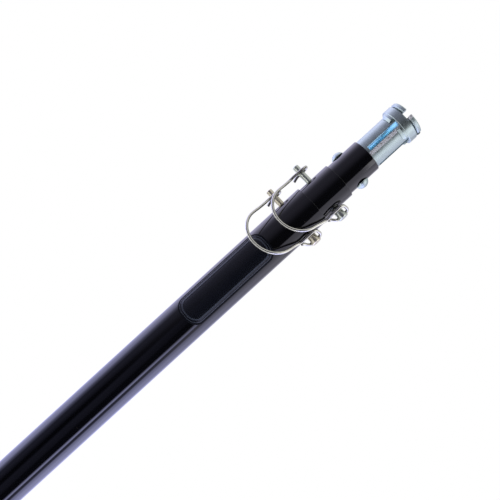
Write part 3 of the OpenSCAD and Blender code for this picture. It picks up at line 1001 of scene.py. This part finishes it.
class POLE_OT_butt_cap(bpy.types.Operator):
    """Model the moulded cap that closes the tube's butt end."""

    bl_idname = "pole.butt_cap"
    bl_label = "Butt cap"

    def execute(self, context):
        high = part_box("butt_cap")[1]
        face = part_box("outer_tube")[0].z
        plug = plug_radius("outer_tube")
        rim = high.x
        edge = 5 / 3 * MM
        cap = turned(
            "Butt_Cap",
            [
                (rim - edge, 0.0), (rim, edge), (rim, face), (plug, face), (plug, high.z - 1.2 * MM),
                (plug - 1.2 * MM, high.z), (plug - 3 * MM, high.z), (plug - 3 * MM, face),
            ],
            sides=96, hollow=False,
        )
        soften(cap, 0.5 * MM, segments=3, angle=25)
        done(cap, "outer", ["butt_cap"], finish("Moulded polypropylene"))
        return {"FINISHED"}


class POLE_OT_inner_fittings(bpy.types.Operator):
    """Give the tape, the guide bushes and their flush rivets their finishes."""

    bl_idname = "pole.inner_fittings"
    bl_label = "Inner fittings"

    def execute(self, context):
        for name, material in (
            ("nameplate_tape", "Acrylic foam tape"),
            ("middle_guide_bush", "Moulded acetal"),
            ("inner_guide_bush", "Moulded acetal"),
            ("middle_bush_rivets", "Drawn aluminium"),
            ("inner_bush_rivets", "Drawn aluminium"),
        ):
            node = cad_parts[name]
            node.data.materials.clear()
            node.data.materials.append(finish(material))
        return {"FINISHED"}


# ---------------------------------------------------------------------------
# Studio
# ---------------------------------------------------------------------------


def surround(tree, bearing, left, right, levels):
    """Brightness of the studio by bearing from the camera, as a ramp of levels, with
    one tint for the left half and one for the right."""
    ramp = add_node(tree, "ShaderNodeValToRGB", {"Fac": bearing})
    stops = ramp.color_ramp.elements
    while len(stops) > 1:
        stops.remove(stops[-1])
    for i, (degrees, level) in enumerate(levels):
        stop = stops[0] if i == 0 else stops.new(degrees / 360 + 0.5)
        stop.position = degrees / 360 + 0.5
        tint = left if degrees < 0 else right
        stop.color = (level * tint[0], level * tint[1], level * tint[2], 1.0)
    return ramp.outputs["Color"]


class POLE_OT_stage(bpy.types.Operator):
    """Set up the camera, the pale floor and the soft studio around the pole."""

    bl_idname = "pole.stage"
    bl_label = "Stage"

    def execute(self, context):
        studio = context.scene.pole_studio
        turn, roll = studio.azimuth, studio.roll
        back = Vector((math.sin(turn), -math.cos(turn), 0))
        across = Vector((math.cos(turn), math.sin(turn), 0))
        up = Vector((0, 0, 1))
        right = math.cos(roll) * up + math.sin(roll) * across
        top = math.sin(roll) * up - math.cos(roll) * across
        place = Vector((0, 0, studio.height)) + back * studio.distance - across * studio.side_step
        start_clean()
        bpy.ops.object.camera_add(
            location=place, rotation=Matrix((right, top, back)).transposed().to_euler()
        )
        camera = context.object
        camera.name = "Camera"
        camera.data.lens = studio.lens
        camera.data.sensor_width = 36.0
        camera.data.clip_start = 0.01
        context.scene.camera = camera

        start_clean()
        bpy.ops.mesh.primitive_cylinder_add(
            vertices=128, radius=studio.floor_radius, depth=0.01, location=(0, 0, -0.005)
        )
        floor = context.object
        floor.name = "Floor"
        apply_place()
        soften(floor, 0.003, segments=3, angle=30)
        bpy.ops.object.shade_smooth_by_angle(angle=math.radians(30))
        floor.data.materials.append(
            moulded_finish("Matt white board", context.scene.pole_finishes.floor, 0.75, 1.2, 0.02, 0.05)
        )

        # One large soft lamp beside the pole, above it
        start_clean()
        lamp_way = (across * 0.8 + back * 0.45 + up * 0.75).normalized()
        bpy.ops.object.light_add(
            type="AREA", location=lamp_way * 1.6 + Vector((0, 0, 0.4)),
            rotation=lamp_way.to_track_quat("Z", "Y").to_euler(),
        )
        lamp = context.object
        lamp.name = "Soft_Lamp"
        lamp.data.size = 0.9
        lamp.data.energy = 4.0

        # A white room: bright walls beside and behind the pole, a dark gap where
        # the camera stands, and more light from below than from above
        world = context.scene.world or bpy.data.worlds.new("World")
        context.scene.world = world
        world.use_nodes = True
        tree = world.node_tree
        tree.nodes.clear()
        way = add_node(tree, "ShaderNodeTexCoord").outputs["Generated"]
        sideways, towards = (
            add_node(
                tree, "ShaderNodeVectorMath", {0: way, 1: axis}, operation="DOT_PRODUCT"
            ).outputs["Value"]
            for axis in (across, back)
        )
        angle = calculated(tree, "ARCTAN2", sideways, towards)
        bearing = calculated(tree, "MULTIPLY_ADD", angle, 0.5 / math.pi, 0.5)
        above = surround(tree, bearing, (0.96, 0.93, 1.28), (0.99, 0.97, 1.15), [
            (-180, 1.0), (-150, 1.3), (-128, 2.3), (-106, 1.8), (-89, 0.9), (-74, 0.46),
            (-60, 0.36), (-47, 0.34), (-35, 0.28), (-23, 0.2), (-12, 0.1), (0, 0.04),
            (12, 0.03), (46, 0.03), (49, 1.1), (75, 1.2), (90, 1.45), (106, 1.5),
            (128, 0.8), (180, 1.0),
        ])
        below = surround(tree, bearing, (0.87, 0.89, 1.48), (0.87, 0.89, 1.48), [
            (-180, 1.1), (-150, 1.5), (-128, 2.0), (-106, 2.6), (-89, 1.0), (-74, 0.22),
            (-60, 0.23), (-45, 0.12), (-35, 0.02), (-23, 0.02), (-12, 0.17), (12, 0.13),
            (23, 0.03), (48, 0.03), (53, 2.2), (57, 4.2), (61, 4.2), (65, 0.35),
            (77, 0.45), (84, 2.6), (106, 3.1), (128, 1.9), (150, 1.5), (180, 1.1),
        ])
        height = add_node(tree, "ShaderNodeSeparateXYZ", {"Vector": way}).outputs["Z"]
        climb = mapped(tree, height, -0.30, 0.05, curve="SMOOTHSTEP")
        walls = mixed(tree, climb, below, above)
        # The ceiling is as bright as the walls, and the white table top far brighter
        steep = calculated(tree, "ABSOLUTE", height)
        ends = mapped(tree, steep, 0.50, 0.66, curve="SMOOTHSTEP")
        end = mixed(tree, climb, (2.3, 2.3, 2.4), (0.95, 0.95, 1.0))
        room = add_node(
            tree, "ShaderNodeBackground",
            {"Color": mixed(tree, ends, walls, end), "Strength": studio.brightness},
        )
        paper = add_node(tree, "ShaderNodeBackground", {"Color": (1.0, 1.0, 1.0, 1.0), "Strength": 1.0})
        seen = add_node(tree, "ShaderNodeLightPath")
        both = add_node(
            tree, "ShaderNodeMixShader",
            {0: seen.outputs["Is Camera Ray"], 1: room.outputs["Background"], 2: paper.outputs["Background"]},
        )
        add_node(tree, "ShaderNodeOutputWorld", {"Surface": both.outputs["Shader"]})
        context.scene.view_settings.view_transform = "Standard"
        context.scene.view_settings.look = "None"
        context.scene.view_settings.exposure = 0.0
        context.scene.view_settings.gamma = 1.0
        return {"FINISHED"}


OPERATORS = (
    POLE_OT_stage,
    POLE_OT_tubes,
    POLE_OT_lock_pins,
    POLE_OT_wires,
    POLE_OT_socket,
    POLE_OT_collar,
    POLE_OT_rivet,
    POLE_OT_nameplate,
    POLE_OT_grip,
    POLE_OT_butt_cap,
    POLE_OT_inner_fittings,
)


class POLE_PT_panel(bpy.types.Panel):
    """The pole's operators and settings in the sidebar."""

    bl_idname = "POLE_PT_panel"
    bl_label = "Extension pole"
    bl_space_type = "VIEW_3D"
    bl_region_type = "UI"
    bl_category = "Pole"

    def draw(self, context):
        for operator in OPERATORS:
            self.layout.operator(operator.bl_idname)
        for name, group in SETTINGS.items():
            box = self.layout.box()
            for key in group.__annotations__:
                box.prop(getattr(context.scene, name), key)


def register():
    for group in SETTINGS.values():
        bpy.utils.register_class(group)
    for name, group in SETTINGS.items():
        setattr(bpy.types.Scene, name, bpy.props.PointerProperty(type=group))
    for operator in OPERATORS:
        bpy.utils.register_class(operator)
    bpy.utils.register_class(POLE_PT_panel)


def unregister():
    bpy.utils.unregister_class(POLE_PT_panel)
    for operator in reversed(OPERATORS):
        bpy.utils.unregister_class(operator)
    for name in SETTINGS:
        delattr(bpy.types.Scene, name)
    for group in SETTINGS.values():
        bpy.utils.unregister_class(group)


def main():
    """Register the add-on's classes and build the pole."""
    register()
    for operator in OPERATORS:
        group, name = operator.bl_idname.split(".")
        getattr(getattr(bpy.ops, group), name)()


if __name__ == "__main__":
    main()
